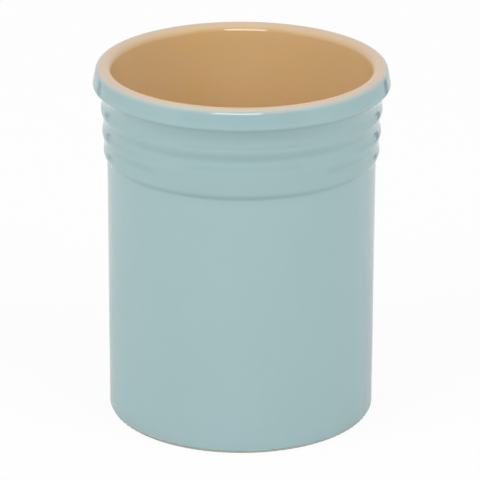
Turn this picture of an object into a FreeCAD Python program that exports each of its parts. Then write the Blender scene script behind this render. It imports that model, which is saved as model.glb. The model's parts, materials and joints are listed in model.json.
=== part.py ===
import FreeCAD, Part
import math
import os
from enum import IntEnum

import Sketcher

# A straight-sided stoneware utensil crock: one clay body under three glaze coats.
# Millimetres, +Z up, the origin on the axis at the foot, the bare panel facing -Y.
# Diameters and heights are taken over the glaze unless the name says clay.
SIZES = {
    "height": (150.0, "foot to the crest of the lip"),
    "body_diameter": (110.9, "plain cylindrical wall"),
    "glaze": (0.5, "thickness of every glaze coat"),
    "clay_wall": (5.0, "clay in the plain wall"),
    "clay_floor": (6.5, "clay in the floor"),
    "floor_round": (9.0, "inside corner between floor and wall"),
    "foot_height": (3.0, "recess under the floor"),
    "foot_width": (6.0, "flat of the dry foot ring"),
    "foot_round": (0.8, "both edges of the foot ring"),
    "recess_round": (0.8, "corner of the recess"),
    "glaze_line": (1.3, "lower edge of the outer glaze above the foot"),
    "glaze_roll": (0.4, "rounding of a free glaze edge"),
    "low_rib": (1.43, "lowest rib, out from the plain wall"),
    "mid_rib": (1.92, "middle rib, out from the plain wall"),
    "top_rib": (2.42, "highest rib, out from the plain wall"),
    "low_groove": (1.12, "groove above the lowest rib, out from the plain wall"),
    "top_groove": (1.24, "groove above the middle rib, out from the plain wall"),
    "cove": (2.05, "hollow between the highest rib and the collar, out from the plain wall"),
    "rib_round": (4.6, "crest of every rib"),
    "root_round": (2.4, "hollow where the lowest rib runs into the wall"),
    "top_rib_drop": (18.2, "crest of the highest rib below the lip"),
    "upper_rib_pitch": (9.7, "highest rib to middle rib"),
    "lower_rib_pitch": (8.0, "middle rib to lowest rib"),
    "panel_length": (72.0, "bare panel between the two lower ribs, along the wall"),
    "collar_overhang": (5.63, "widest part of the collar, out from the plain wall"),
    "collar_depth": (8.9, "lip crest to the underside of the collar"),
    "collar_round": (1.35, "lower edge of the collar"),
    "collar_draft": (1.0, "lip set back from the collar's widest part"),
    "lip_width": (6.83, "half-round lip"),
    "seam_angle": (42.0, "border of the two glazes, degrees out from the lip's crest"),
    "flare_height": (38.0, "throat, from the straight well up to the lip"),
    "flare_round": (25.0, "bend at each end of the throat"),
}

# Sizes that several pieces share, as expressions on the sheet.
WALL = "dims.body_diameter / 2"
WELL = f"{WALL} - 2 * dims.glaze - dims.clay_wall"
WELL_FLOOR = "dims.foot_height + dims.clay_floor + dims.glaze"
RIBS = ("low", "mid", "top")
RIB_CREST = {rib: f"{WALL} + dims.{rib}_rib" for rib in RIBS}
HOLLOW_FLOORS = [f"{WALL} + dims.{hollow}" for hollow in ("low_groove", "top_groove", "cove")]
TOP_RIB_Z = "dims.height - dims.top_rib_drop"
MID_RIB_Z = f"{TOP_RIB_Z} - dims.upper_rib_pitch"
RIB_Z = {
    "low": f"{MID_RIB_Z} - dims.lower_rib_pitch",
    "mid": MID_RIB_Z,
    "top": TOP_RIB_Z,
}
COLLAR = f"{WALL} + dims.collar_overhang"
LIP_RADIUS = "dims.lip_width / 2"
LIP_X = f"{COLLAR} - dims.collar_draft - {LIP_RADIUS}"
LIP_Z = f"dims.height - {LIP_RADIUS}"
RECESS = f"{WALL} - dims.glaze - 2 * dims.foot_round - dims.foot_width"

# A rounded glaze edge leaves a fifth of the coat square, however thin the coat is.
LARGEST_ROLL = "0.8 * dims.glaze"

# The sections are drawn in the XZ plane, and this turns their plane to the front.
FRONT = FreeCAD.Placement(FreeCAD.Vector(0, 0, 0), FreeCAD.Rotation(FreeCAD.Vector(0, 0, 1), -90))
FULL_TURN = 360
OUTWARD, UPWARD, INWARD, DOWNWARD = 0, 90, 180, -90


class Spot(IntEnum):
    """A point of a sketched item, as the sketcher numbers them."""

    START = 1
    END = 2
    CENTRE = 3


class Axis(IntEnum):
    """One of the sketch's own axes, as the sketcher numbers them. The radius axis starts at the origin."""

    RADIUS = -1
    HEIGHT = -2


class Circle:
    """A circle in the section's plane, as the radius and height of its centre and its own radius."""

    def __init__(self, x, z, radius):
        self.centre = FreeCAD.Vector(x, z, 0)
        self.radius = radius

    def crest(self):
        """Largest distance from the crock's axis."""
        return self.centre.x + self.radius

    def at(self, degrees):
        """Point on the circle at an angle from the radius axis."""
        turn = math.radians(degrees)
        return self.centre + FreeCAD.Vector(math.cos(turn), math.sin(turn), 0) * self.radius

    def touch(self, other):
        """Point where this circle and one outside it touch."""
        share = self.radius / (self.radius + other.radius)
        return self.centre + (other.centre - self.centre) * share


def circle_in_groove(lower, upper, floor):
    """Circle that lies on the groove floor and touches the round below and the round above it."""
    rise = upper.centre.y - lower.centre.y
    low, high = lower.crest() - floor, upper.crest() - floor
    low_chord = low * (2 * lower.radius - low)
    high_chord = high * (2 * upper.radius - high)
    taper = 1 - high / low
    reach = rise ** 2 + low_chord - high_chord - taper * low_chord
    step = reach / (rise + math.sqrt(rise ** 2 - taper * reach))
    radius = (step ** 2 - low_chord) / (2 * low)
    return Circle(floor + radius, lower.centre.y + step, radius)


def circle_on_wall(wall, radius, above):
    """Circle of a given radius that lies on the wall and touches the round above it."""
    across = wall + radius - above.centre.x
    drop = math.sqrt((radius + above.radius) ** 2 - across ** 2)
    return Circle(wall + radius, above.centre.y - drop, radius)


def outer_tangent(lower, upper):
    """Ends of the straight line that touches both circles on the side away from the axis."""
    along = upper.centre - lower.centre
    lean = math.atan2(along.y, along.x)
    turn = math.degrees(lean - math.acos((lower.radius - upper.radius) / along.Length))
    return lower.at(turn), upper.at(turn)


def crossing_tangent(upper, lower):
    """Ends of the straight line that touches the upper circle outside and the lower one inside."""
    along = lower.centre - upper.centre
    lean = math.atan2(along.y, along.x)
    turn = math.degrees(lean + math.acos((upper.radius + lower.radius) / along.Length))
    return upper.at(turn), lower.at(turn + INWARD)


class Section:
    """A closed outline of lines and arcs, with its dimensions tied to the sheet."""

    def __init__(self, body, name):
        self.sketch = body.newObject("Sketcher::SketchObject", name)
        plane = next(item for item in body.Origin.OriginFeatures if item.Role == "XZ_Plane")
        self.sketch.AttachmentSupport = [(plane, "")]
        self.sketch.MapMode = "FlatFace"
        self.links = []

    def value(self, size):
        """Number that an expression on the sheet gives."""
        return float(self.sketch.evalExpression(size))

    def point(self, x_size, z_size):
        """Point given by two expressions."""
        return FreeCAD.Vector(self.value(x_size), self.value(z_size), 0)

    def circle(self, x_size, z_size, radius_size):
        """Circle given by three expressions."""
        return Circle(self.value(x_size), self.value(z_size), self.value(radius_size))

    def constrain(self, *rule):
        """Add one constraint and return its number."""
        return self.sketch.addConstraint(Sketcher.Constraint(*rule))

    def bind(self, kind, size, *where):
        """Add a dimension that follows an expression."""
        index = self.constrain(kind, *where, self.value(size))
        self.sketch.setExpression(f"Constraints[{index}]", size)

    def bind_x(self, size, item, end):
        """Tie a point's distance from the axis to an expression."""
        self.bind("DistanceX", size, Axis.RADIUS, Spot.START, item, end)

    def bind_z(self, size, item, end):
        """Tie a point's height to an expression."""
        self.bind("DistanceY", size, Axis.RADIUS, Spot.START, item, end)

    def line(self, start, end):
        """Draw a line from start to end."""
        item = self.sketch.addGeometry(Part.LineSegment(start, end), False)
        self.links.append((item, Spot.START, Spot.END))
        return item

    def upright(self, x_size, start, end):
        """Draw an upright line at a distance from the axis that follows an expression."""
        item = self.line(start, end)
        self.constrain("Vertical", item)
        self.bind_x(x_size, item, Spot.START)
        return item

    def level(self, z_size, start, end):
        """Draw a level line at a height that follows an expression."""
        item = self.line(start, end)
        self.constrain("Horizontal", item)
        self.bind_z(z_size, item, Spot.START)
        return item

    def level_from_axis(self, z_size, end):
        """Draw a level line that starts on the axis, and return its start."""
        start = FreeCAD.Vector(0, self.value(z_size), 0)
        item = self.level(z_size, start, end)
        self.constrain("PointOnObject", item, Spot.START, Axis.HEIGHT)
        return start

    def level_to_axis(self, z_size, start):
        """Draw a level line that ends on the axis, and return its end."""
        end = FreeCAD.Vector(0, self.value(z_size), 0)
        item = self.level(z_size, start, end)
        self.constrain("PointOnObject", item, Spot.END, Axis.HEIGHT)
        return end

    def arc(self, circle, start, end, left=True):
        """Draw the arc of a circle from start to end, turning left or right."""
        outline = Part.Circle(circle.centre, FreeCAD.Vector(0, 0, 1), circle.radius)
        from_centre = [point - circle.centre for point in (start, end)]
        turns = [math.atan2(spoke.y, spoke.x) for spoke in from_centre]
        if not left:
            turns.reverse()
        item = self.sketch.addGeometry(Part.ArcOfCircle(outline, *turns), False)
        self.links.append((item, Spot.START, Spot.END) if left else (item, Spot.END, Spot.START))
        return item

    def round(self, radius_size, circle, start, end, left=True):
        """Draw an arc whose radius follows an expression and whose place follows its neighbours."""
        item = self.arc(circle, start, end, left)
        self.bind("Radius", radius_size, item)
        return item

    def fixed_round(self, sizes, circle, start, end):
        """Draw an arc that turns left, with its centre and radius tied to three expressions."""
        x_size, z_size, radius_size = sizes
        item = self.round(radius_size, circle, start, end)
        self.bind_x(x_size, item, Spot.CENTRE)
        self.bind_z(z_size, item, Spot.CENTRE)
        return item

    def upright_guide(self, x_size, low_size, high_size):
        """Draw an upright construction line between two heights, which isn't part of the outline."""
        ends = (self.point(x_size, low_size), self.point(x_size, high_size))
        item = self.sketch.addGeometry(Part.LineSegment(*ends), True)
        self.constrain("Vertical", item)
        self.bind_x(x_size, item, Spot.START)
        self.bind_z(low_size, item, Spot.START)
        self.bind_z(high_size, item, Spot.END)
        return item

    def close(self, corners=()):
        """Join the links in a ring: smoothly, or at a corner between lines and at the items named."""
        for (item, _, leave), (following, enter, _) in zip(self.links, self.links[1:] + self.links[:1]):
            kinds = [self.sketch.Geometry[number].TypeId for number in (item, following)]
            straight = all(kind == "Part::GeomLineSegment" for kind in kinds)
            rule = "Coincident" if straight or item in corners else "Tangent"
            self.constrain(rule, item, leave, following, enter)


def outer_side(section, skin, foot_top):
    """Draw the outside from the top of the foot to the lip, a skin's thickness inside the glazed form."""
    wall = f"{WALL} - {skin}"
    floors = [f"{floor} - {skin}" for floor in HOLLOW_FLOORS]
    rib_round = f"dims.rib_round - {skin}"
    rib_sizes = [(f"{RIB_CREST[rib]} - dims.rib_round", RIB_Z[rib], rib_round) for rib in RIBS]
    collar_x = f"{COLLAR} - dims.collar_round"
    collar_z = "dims.height - dims.collar_depth + dims.collar_round"
    crest_sizes = rib_sizes + [(collar_x, collar_z, f"dims.collar_round - {skin}")]
    crests = [section.circle(*sizes) for sizes in crest_sizes]
    root_round = f"dims.root_round + {skin}"
    root = circle_on_wall(section.value(wall), section.value(root_round), crests[0])
    lip = section.circle(LIP_X, LIP_Z, f"{LIP_RADIUS} - {skin}")
    face_foot, face_top = outer_tangent(crests[-1], lip)

    leaving = root.touch(crests[0])
    section.upright(wall, foot_top, root.at(INWARD))
    section.round(root_round, root, root.at(INWARD), leaving, left=False)
    for sizes, following_sizes, floor in zip(crest_sizes, crest_sizes[1:], floors):
        crest, following = section.circle(*sizes), section.circle(*following_sizes)
        hollow = circle_in_groove(crest, following, section.value(floor))
        section.fixed_round(sizes, crest, leaving, crest.touch(hollow))
        leaving = hollow.touch(following)
        groove = section.arc(hollow, crest.touch(hollow), leaving, left=False)
        guide = section.upright_guide(floor, sizes[1], following_sizes[1])
        section.constrain("Tangent", groove, guide)
    section.fixed_round(crest_sizes[-1], crests[-1], leaving, face_foot)
    section.line(face_foot, face_top)
    return lip, face_top


def inner_side(section, skin, lip):
    """Draw the inside from the lip down to the middle of the floor, a skin's thickness into the wall."""
    mouth = lip.at(INWARD)
    upper_size, lower_size = f"dims.flare_round + {skin}", f"dims.flare_round - {skin}"
    upper_radius, lower_radius = section.value(upper_size), section.value(lower_size)
    flare_foot = f"{LIP_Z} - dims.flare_height"
    well_size = f"{WELL} + {skin}"
    well = section.value(well_size)
    upper = Circle(mouth.x - upper_radius, mouth.y, upper_radius)
    lower = Circle(well + lower_radius, section.value(flare_foot), lower_radius)
    cone_top, cone_foot = crossing_tangent(upper, lower)
    throat = section.round(upper_size, upper, mouth, cone_top, left=False)
    section.bind_z(LIP_Z, throat, Spot.CENTRE)
    section.line(cone_top, cone_foot)
    neck = section.round(lower_size, lower, cone_foot, lower.at(INWARD))
    section.bind_z(flare_foot, neck, Spot.CENTRE)

    corner_size = f"dims.floor_round + {skin}"
    corner_radius = section.value(corner_size)
    floor_size = f"{WELL_FLOOR} - {skin}"
    floor = section.value(floor_size)
    corner = Circle(well - corner_radius, floor + corner_radius, corner_radius)
    section.upright(well_size, lower.at(INWARD), corner.at(OUTWARD))
    section.round(corner_size, corner, corner.at(OUTWARD), corner.at(DOWNWARD), left=False)
    return section.level_to_axis(floor_size, corner.at(DOWNWARD))


def clay_foot(section):
    """Draw the recess and the dry foot ring, from the axis to the foot of the wall."""
    skin = section.value("dims.glaze")
    recess, ceiling = section.value(RECESS), section.value("dims.foot_height")
    hollow_radius, edge_radius = section.value("dims.recess_round"), section.value("dims.foot_round")
    hollow = Circle(recess - hollow_radius, ceiling - hollow_radius, hollow_radius)
    inner_edge = Circle(recess + edge_radius, edge_radius, edge_radius)
    outer_edge = Circle(section.value(WALL) - skin - edge_radius, edge_radius, edge_radius)
    middle = section.level_from_axis("dims.foot_height", hollow.at(UPWARD))
    section.round("dims.recess_round", hollow, hollow.at(UPWARD), hollow.at(OUTWARD), left=False)
    section.upright(RECESS, hollow.at(OUTWARD), inner_edge.at(INWARD))
    section.round("dims.foot_round", inner_edge, inner_edge.at(INWARD), inner_edge.at(DOWNWARD))
    item = section.line(inner_edge.at(DOWNWARD), outer_edge.at(DOWNWARD))
    section.constrain("Horizontal", item)
    section.constrain("PointOnObject", item, Spot.START, Axis.RADIUS)
    section.round("dims.foot_round", outer_edge, outer_edge.at(DOWNWARD), outer_edge.at(OUTWARD))
    return middle, outer_edge.at(OUTWARD)


def glaze_foot(section):
    """Draw the under edge of the glazed form: a step inside the clay, then the rolled glaze edge."""
    step_x = f"{RECESS} + dims.foot_round"
    step_z = "dims.foot_height + dims.clay_floor / 2"
    step_top = section.point(step_x, step_z)
    step_foot = section.point(step_x, "dims.glaze_line")
    roll_radius = section.value("dims.glaze_roll")
    roll = Circle(section.value(WALL) - roll_radius, step_foot.y + roll_radius, roll_radius)
    middle = section.level_from_axis(step_z, step_top)
    section.upright(step_x, step_top, step_foot)
    section.level("dims.glaze_line", step_foot, roll.at(DOWNWARD))
    section.round("dims.glaze_roll", roll, roll.at(DOWNWARD), roll.at(OUTWARD))
    return middle, roll.at(OUTWARD)


def revolve(body, section, name, angle=None):
    """Turn a section about the axis: all the way, or by an angle split evenly about its plane."""
    feature = body.newObject("PartDesign::Revolution", name)
    feature.Profile = section.sketch
    feature.ReferenceAxis = (section.sketch, ["V_Axis"])
    feature.Angle = FULL_TURN
    if angle:
        feature.Midplane = True
        feature.setExpression("Angle", angle)
    return feature


def new_body(doc, label):
    """Start a body whose section plane faces the front."""
    body = doc.addObject("PartDesign::Body", label)
    body.Label = label
    body.Placement = FRONT
    return body


def add_panel(body, skin):
    """Fill the groove between the two lower ribs at the front, flush with both crests."""
    section = Section(body, f"{body.Name}_panel_section")
    tilt = "atan((dims.mid_rib - dims.low_rib) / dims.lower_rib_pitch)"
    out = f"(dims.rib_round - {skin}) * cos({tilt}) - dims.rib_round"
    down = f"(dims.rib_round - {skin}) * sin({tilt})"
    face = [(f"{RIB_CREST[rib]} + {out}", f"{RIB_Z[rib]} - {down}") for rib in ("low", "mid")]
    back = f"{WALL} - {skin}"
    low, high = [section.point(*sizes) for sizes in face]
    back_low, back_high = [section.point(back, sizes[1]) for sizes in face]
    section.level(face[0][1], back_low, low)
    front = section.line(low, high)
    section.bind_x(face[0][0], front, Spot.START)
    section.bind_x(face[1][0], front, Spot.END)
    section.level(face[1][1], high, back_high)
    section.upright(back, back_high, back_low)
    section.close()
    length = f"(dims.panel_length - 2 * {skin})"
    revolve(body, section, f"{body.Name}_panel", f"{length} / ({WALL}) * 180 / pi")


def crock_solid(doc, label, skin, foot):
    """Build the crock as one solid, a skin's thickness inside the glazed form, on the foot given."""
    body = new_body(doc, label)
    section = Section(body, f"{label}_section")
    bottom, foot_top = foot(section)
    lip, face_top = outer_side(section, skin, foot_top)
    section.fixed_round((LIP_X, LIP_Z, f"{LIP_RADIUS} - {skin}"), lip, face_top, lip.at(INWARD))
    middle = inner_side(section, skin, lip)
    section.line(middle, bottom)
    section.close()
    revolve(body, section, f"{label}_turned")
    add_panel(body, skin)
    return body


def lining_zone(doc):
    """Build the space that the inner glaze keeps to: the well, the throat and the lip up to the seam."""
    body = new_body(doc, "lining_zone")
    section = Section(body, "lining_zone_section")
    skin = "2 * dims.glaze"
    lip = section.circle(LIP_X, LIP_Z, f"{LIP_RADIUS} - {skin}")
    seam = UPWARD - section.value("dims.seam_angle")
    seam_top = Circle(lip.centre.x, lip.centre.y, section.value("dims.lip_width")).at(seam)
    axis_top = section.level_from_axis(f"{LIP_Z} + dims.lip_width * cos(dims.seam_angle)", seam_top)
    seam_line = section.line(seam_top, lip.at(seam))
    section.bind_x(f"{LIP_X} + dims.lip_width * sin(dims.seam_angle)", seam_line, Spot.START)
    crest = section.fixed_round((LIP_X, LIP_Z, f"{LIP_RADIUS} - {skin}"), lip, lip.at(seam), lip.at(INWARD))
    section.constrain("PointOnObject", crest, Spot.CENTRE, seam_line)
    middle = inner_side(section, skin, lip)
    section.line(middle, axis_top)
    section.close(corners=(seam_line,))
    revolve(body, section, "lining_zone_turned")
    return body


def boolean(doc, kind, label, base, tool):
    """Combine two solids in a labelled boolean feature."""
    feature = doc.addObject(kind, label)
    feature.Label = label
    feature.Base = base
    feature.Tool = tool
    return feature


def underside_glaze(doc):
    """Build the glaze disc on the recess ceiling, with its free edge rolled."""
    body = new_body(doc, "underside_glaze")
    section = Section(body, "underside_glaze_section")
    rim = f"{RECESS} - dims.recess_round"
    low, high = "dims.foot_height - dims.glaze", "dims.foot_height"
    roll_size = f"min(dims.glaze_roll; {LARGEST_ROLL})"
    roll_radius = section.value(roll_size)
    corner, top = section.point(rim, low), section.point(rim, high)
    roll = Circle(corner.x - roll_radius, corner.y + roll_radius, roll_radius)
    bottom = section.level_from_axis(low, roll.at(DOWNWARD))
    section.round(roll_size, roll, roll.at(DOWNWARD), roll.at(OUTWARD))
    section.upright(rim, roll.at(OUTWARD), top)
    section.line(section.level_to_axis(high, top), bottom)
    section.close()
    revolve(body, section, "underside_glaze_turned")
    return body


def make_sheet(doc):
    """Put the driving sizes in a spreadsheet, one row each."""
    sheet = doc.addObject("Spreadsheet::Sheet", "dims")
    for row, (alias, (size, meaning)) in enumerate(SIZES.items(), start=1):
        sheet.set(f"A{row}", str(size))
        sheet.setAlias(f"A{row}", alias)
        sheet.set(f"B{row}", meaning)
    doc.recompute()


def check(doc, pieces):
    """Stop if any object failed or any piece isn't one sound solid."""
    for item in doc.Objects:
        if {"Invalid", "Error"} & set(item.State):
            raise RuntimeError(f"{item.Label} failed: {item.State}")
        if item.isDerivedFrom("Sketcher::SketchObject") and not item.FullyConstrained:
            raise RuntimeError(f"{item.Label} isn't fully constrained")
    for piece in pieces:
        shape = piece.Shape
        if shape.isNull() or not shape.isValid() or len(shape.Solids) != 1:
            raise RuntimeError(f"{piece.Label} isn't one sound solid")


def main():
    """Build the crock and write each piece to its own file."""
    doc = FreeCAD.newDocument("utensil_crock")
    make_sheet(doc)
    body = crock_solid(doc, "stoneware_body", "dims.glaze", clay_foot)
    form = crock_solid(doc, "glazed_form", "0", glaze_foot)
    zone = lining_zone(doc)
    coats = boolean(doc, "Part::Cut", "coats", form, body)
    inner = boolean(doc, "Part::Common", "inner_glaze", coats, zone)
    outer = boolean(doc, "Part::Cut", "outer_glaze", coats, zone)
    under = underside_glaze(doc)
    doc.recompute()
    pieces = (body, outer, inner, under)
    check(doc, pieces)
    os.makedirs("parts", exist_ok=True)
    for piece in pieces:
        piece.Shape.exportStep(f"parts/{piece.Label}.step")
        print(f"{piece.Label}: {piece.Shape.Volume:.0f} mm3")


main()
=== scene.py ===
"""Looks of a stoneware utensil crock: two glaze coats, the bare clay under them and a white studio.

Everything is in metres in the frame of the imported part: +Z up, the crock's axis on Z, its foot at Z = 0
and its bare panel towards -Y. A section is drawn as distances out from the axis and heights.
"""
import json
import logging
import math
from dataclasses import dataclass
from enum import Enum
from typing import Mapping, Sequence

import bpy
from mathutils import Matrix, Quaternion, Vector


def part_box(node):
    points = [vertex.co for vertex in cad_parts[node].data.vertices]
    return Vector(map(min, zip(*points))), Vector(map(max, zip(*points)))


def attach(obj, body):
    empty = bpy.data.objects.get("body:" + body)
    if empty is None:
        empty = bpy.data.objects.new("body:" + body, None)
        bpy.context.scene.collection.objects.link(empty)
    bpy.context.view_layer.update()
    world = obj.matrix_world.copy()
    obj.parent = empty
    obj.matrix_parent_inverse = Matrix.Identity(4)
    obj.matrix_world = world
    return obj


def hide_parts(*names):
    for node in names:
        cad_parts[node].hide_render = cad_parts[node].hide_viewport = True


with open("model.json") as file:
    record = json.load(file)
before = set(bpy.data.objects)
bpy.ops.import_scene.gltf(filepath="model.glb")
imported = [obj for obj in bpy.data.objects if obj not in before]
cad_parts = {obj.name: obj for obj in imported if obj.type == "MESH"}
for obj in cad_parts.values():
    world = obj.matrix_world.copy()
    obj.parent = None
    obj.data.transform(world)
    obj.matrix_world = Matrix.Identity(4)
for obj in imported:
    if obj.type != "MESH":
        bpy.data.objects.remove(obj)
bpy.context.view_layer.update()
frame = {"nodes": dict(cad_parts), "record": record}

MM = 0.001
ROOT = "root"
POOL = "pool"
SWAY = "sway"
NOISE_MIDDLE = 0.5
LOG = logging.getLogger("utensil_crock")

Colour = tuple[float, float, float, float]
Point = tuple[float, float]
Span = tuple[float, float]
Piece = bpy.types.Object
Material = bpy.types.Material
Socket = bpy.types.NodeSocket


class CadNode(str, Enum):
    """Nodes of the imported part."""

    CLAY = "stoneware_body"
    OUTSIDE = "outer_glaze"
    INSIDE = "inner_glaze"
    UNDERSIDE = "underside_glaze"


class Slot(str, Enum):
    """Material slots of the record."""

    BLUE = "blue_glaze"
    CREAM = "cream_glaze"


class GlazeSide(Enum):
    """Which glaze a coat carries below the lip, as the share of the outside glaze there."""

    OUTSIDE = 1.0
    INSIDE = 0.0


class Fineness(Enum):
    """How far a chord may lie from its arc, and how long a straight step may be, in metres."""

    SHOWN = (0.006 * MM, 3.0 * MM)
    HIDDEN = (0.03 * MM, 12.0 * MM)


def smooth_step(low: float, high: float, value: float) -> float:
    """Ease from 0 at low to 1 at high.

    Args:
        low: Value that gives 0. It may be the larger one.
        high: Value that gives 1.
        value: Value to place between them.

    Returns:
        The eased share, from 0 to 1.
    """
    share = min(1.0, max(0.0, (value - low) / (high - low)))
    return share * share * (3.0 - 2.0 * share)


@dataclass(frozen=True)
class Round:
    """A circle in the section: its centre's distance from the axis, its centre's height, its radius."""

    out: float
    up: float
    radius: float

    def at(self, degrees: float) -> Point:
        """Point on the circle at an angle from straight out."""
        turn = math.radians(degrees)
        return self.out + self.radius * math.cos(turn), self.up + self.radius * math.sin(turn)

    def crest(self) -> float:
        """Largest distance from the crock's axis."""
        return self.out + self.radius

    def towards(self, other: "Round") -> float:
        """Angle in degrees from this circle's centre to another's."""
        return math.degrees(math.atan2(other.up - self.up, other.out - self.out))

    def touching(self, other: "Round") -> float:
        """Angle in degrees where a straight line touches this circle and, on the same side, another."""
        span = math.dist((self.out, self.up), (other.out, other.up))
        return self.towards(other) - math.degrees(math.acos((self.radius - other.radius) / span))


@dataclass(frozen=True)
class Bend:
    """An arc of the section over the glaze.

    Args:
        circle: The circle that the arc lies on.
        start: Angle in degrees where the arc starts.
        end: Angle in degrees where the arc ends.
        hollow: Whether the open side is inside the circle.
    """

    circle: Round
    start: float
    end: float
    hollow: bool

    def points(self, depth: float, sag: float) -> list[Point]:
        """Sample the arc, or the arc that runs a depth below it.

        Args:
            depth: Distance under the glaze's surface.
            sag: Largest distance between a chord and the arc.

        Returns:
            Points along the arc from its start to its end.
        """
        radius = self.circle.radius + (depth if self.hollow else -depth)
        arc = Round(self.circle.out, self.circle.up, radius)
        step = math.degrees(2.0 * math.acos(1.0 - sag / radius))
        count = max(2, math.ceil(abs(self.end - self.start) / step))
        return [arc.at(self.start + (self.end - self.start) * i / count) for i in range(count + 1)]


@dataclass(frozen=True)
class OutlinePoint:
    """A vertex of a coat's section: its place, the glaze's thickness with any painted shade, and the
    unevenness there.
    """

    out: float
    up: float
    pool: float
    sway: float


@dataclass(frozen=True)
class CrockSizes:
    """Driving sizes of the crock, taken over its glaze."""

    height: float
    collar_radius: float
    well_radius: float
    glaze_line: float
    lining_floor: float
    wall_radius: float = 55.45 * MM
    glaze: float = 0.5 * MM
    glaze_roll: float = 0.4 * MM
    rib_rises: tuple[float, float, float] = (1.43 * MM, 1.92 * MM, 2.42 * MM)
    rib_drops: tuple[float, float, float] = (35.9 * MM, 27.9 * MM, 18.2 * MM)
    hollow_rises: tuple[float, float, float] = (1.12 * MM, 1.24 * MM, 2.05 * MM)
    rib_round: float = 4.6 * MM
    root_round: float = 2.4 * MM
    collar_depth: float = 8.9 * MM
    collar_round: float = 1.35 * MM
    lip_set_back: float = 1.0 * MM
    lip_outer_round: float = 2.75 * MM
    lip_top_round: float = 5.0 * MM
    lip_edge_round: float = 3.1 * MM
    mouth_radius: float = 53.25 * MM
    seam_angle: float = 39.0
    flare_height: float = 38.0 * MM
    flare_round: float = 25.0 * MM
    floor_round: float = 9.0 * MM

    @classmethod
    def from_frame(cls) -> "CrockSizes":
        """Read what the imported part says, and keep the other sizes as they are written.

        Returns:
            The crock's sizes.
        """
        lining_low, lining_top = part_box(CadNode.INSIDE.value)
        coat_low, coat_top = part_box(CadNode.OUTSIDE.value)
        well = next(mount for mount in frame["record"]["mounts"] if mount["kind"] == "bore")
        return cls(
            height=lining_top.z,
            collar_radius=coat_top.x,
            well_radius=well["dims"]["r_mm"] * MM,
            glaze_line=coat_low.z,
            lining_floor=lining_low.z + cls.glaze,
        )

    @property
    def collar_low(self) -> float:
        """Height of the collar's lower edge."""
        return self.height - self.collar_depth

    @property
    def lip_crest(self) -> float:
        """Distance of the lip's crest from the axis."""
        return self.collar_radius - self.lip_set_back - self.lip_outer_round

    @property
    def outer_lip(self) -> Round:
        """Outer half of the lip."""
        return Round(self.lip_crest, self.height - self.lip_outer_round, self.lip_outer_round)

    @property
    def lip_top(self) -> Round:
        """Broad top of the lip, inwards from its crest."""
        return Round(self.lip_crest, self.height - self.lip_top_round, self.lip_top_round)

    @property
    def lip_turn(self) -> float:
        """Angle in degrees over which the lip's top runs before its inner edge."""
        inwards = self.lip_crest - self.mouth_radius - self.lip_edge_round
        return math.degrees(math.asin(inwards / (self.lip_top_round - self.lip_edge_round)))

    @property
    def lip_edge(self) -> Round:
        """Inner edge of the lip, down to the mouth."""
        rise = (self.lip_top_round - self.lip_edge_round) * math.cos(math.radians(self.lip_turn))
        return Round(self.mouth_radius + self.lip_edge_round, self.lip_top.up + rise, self.lip_edge_round)


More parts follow.
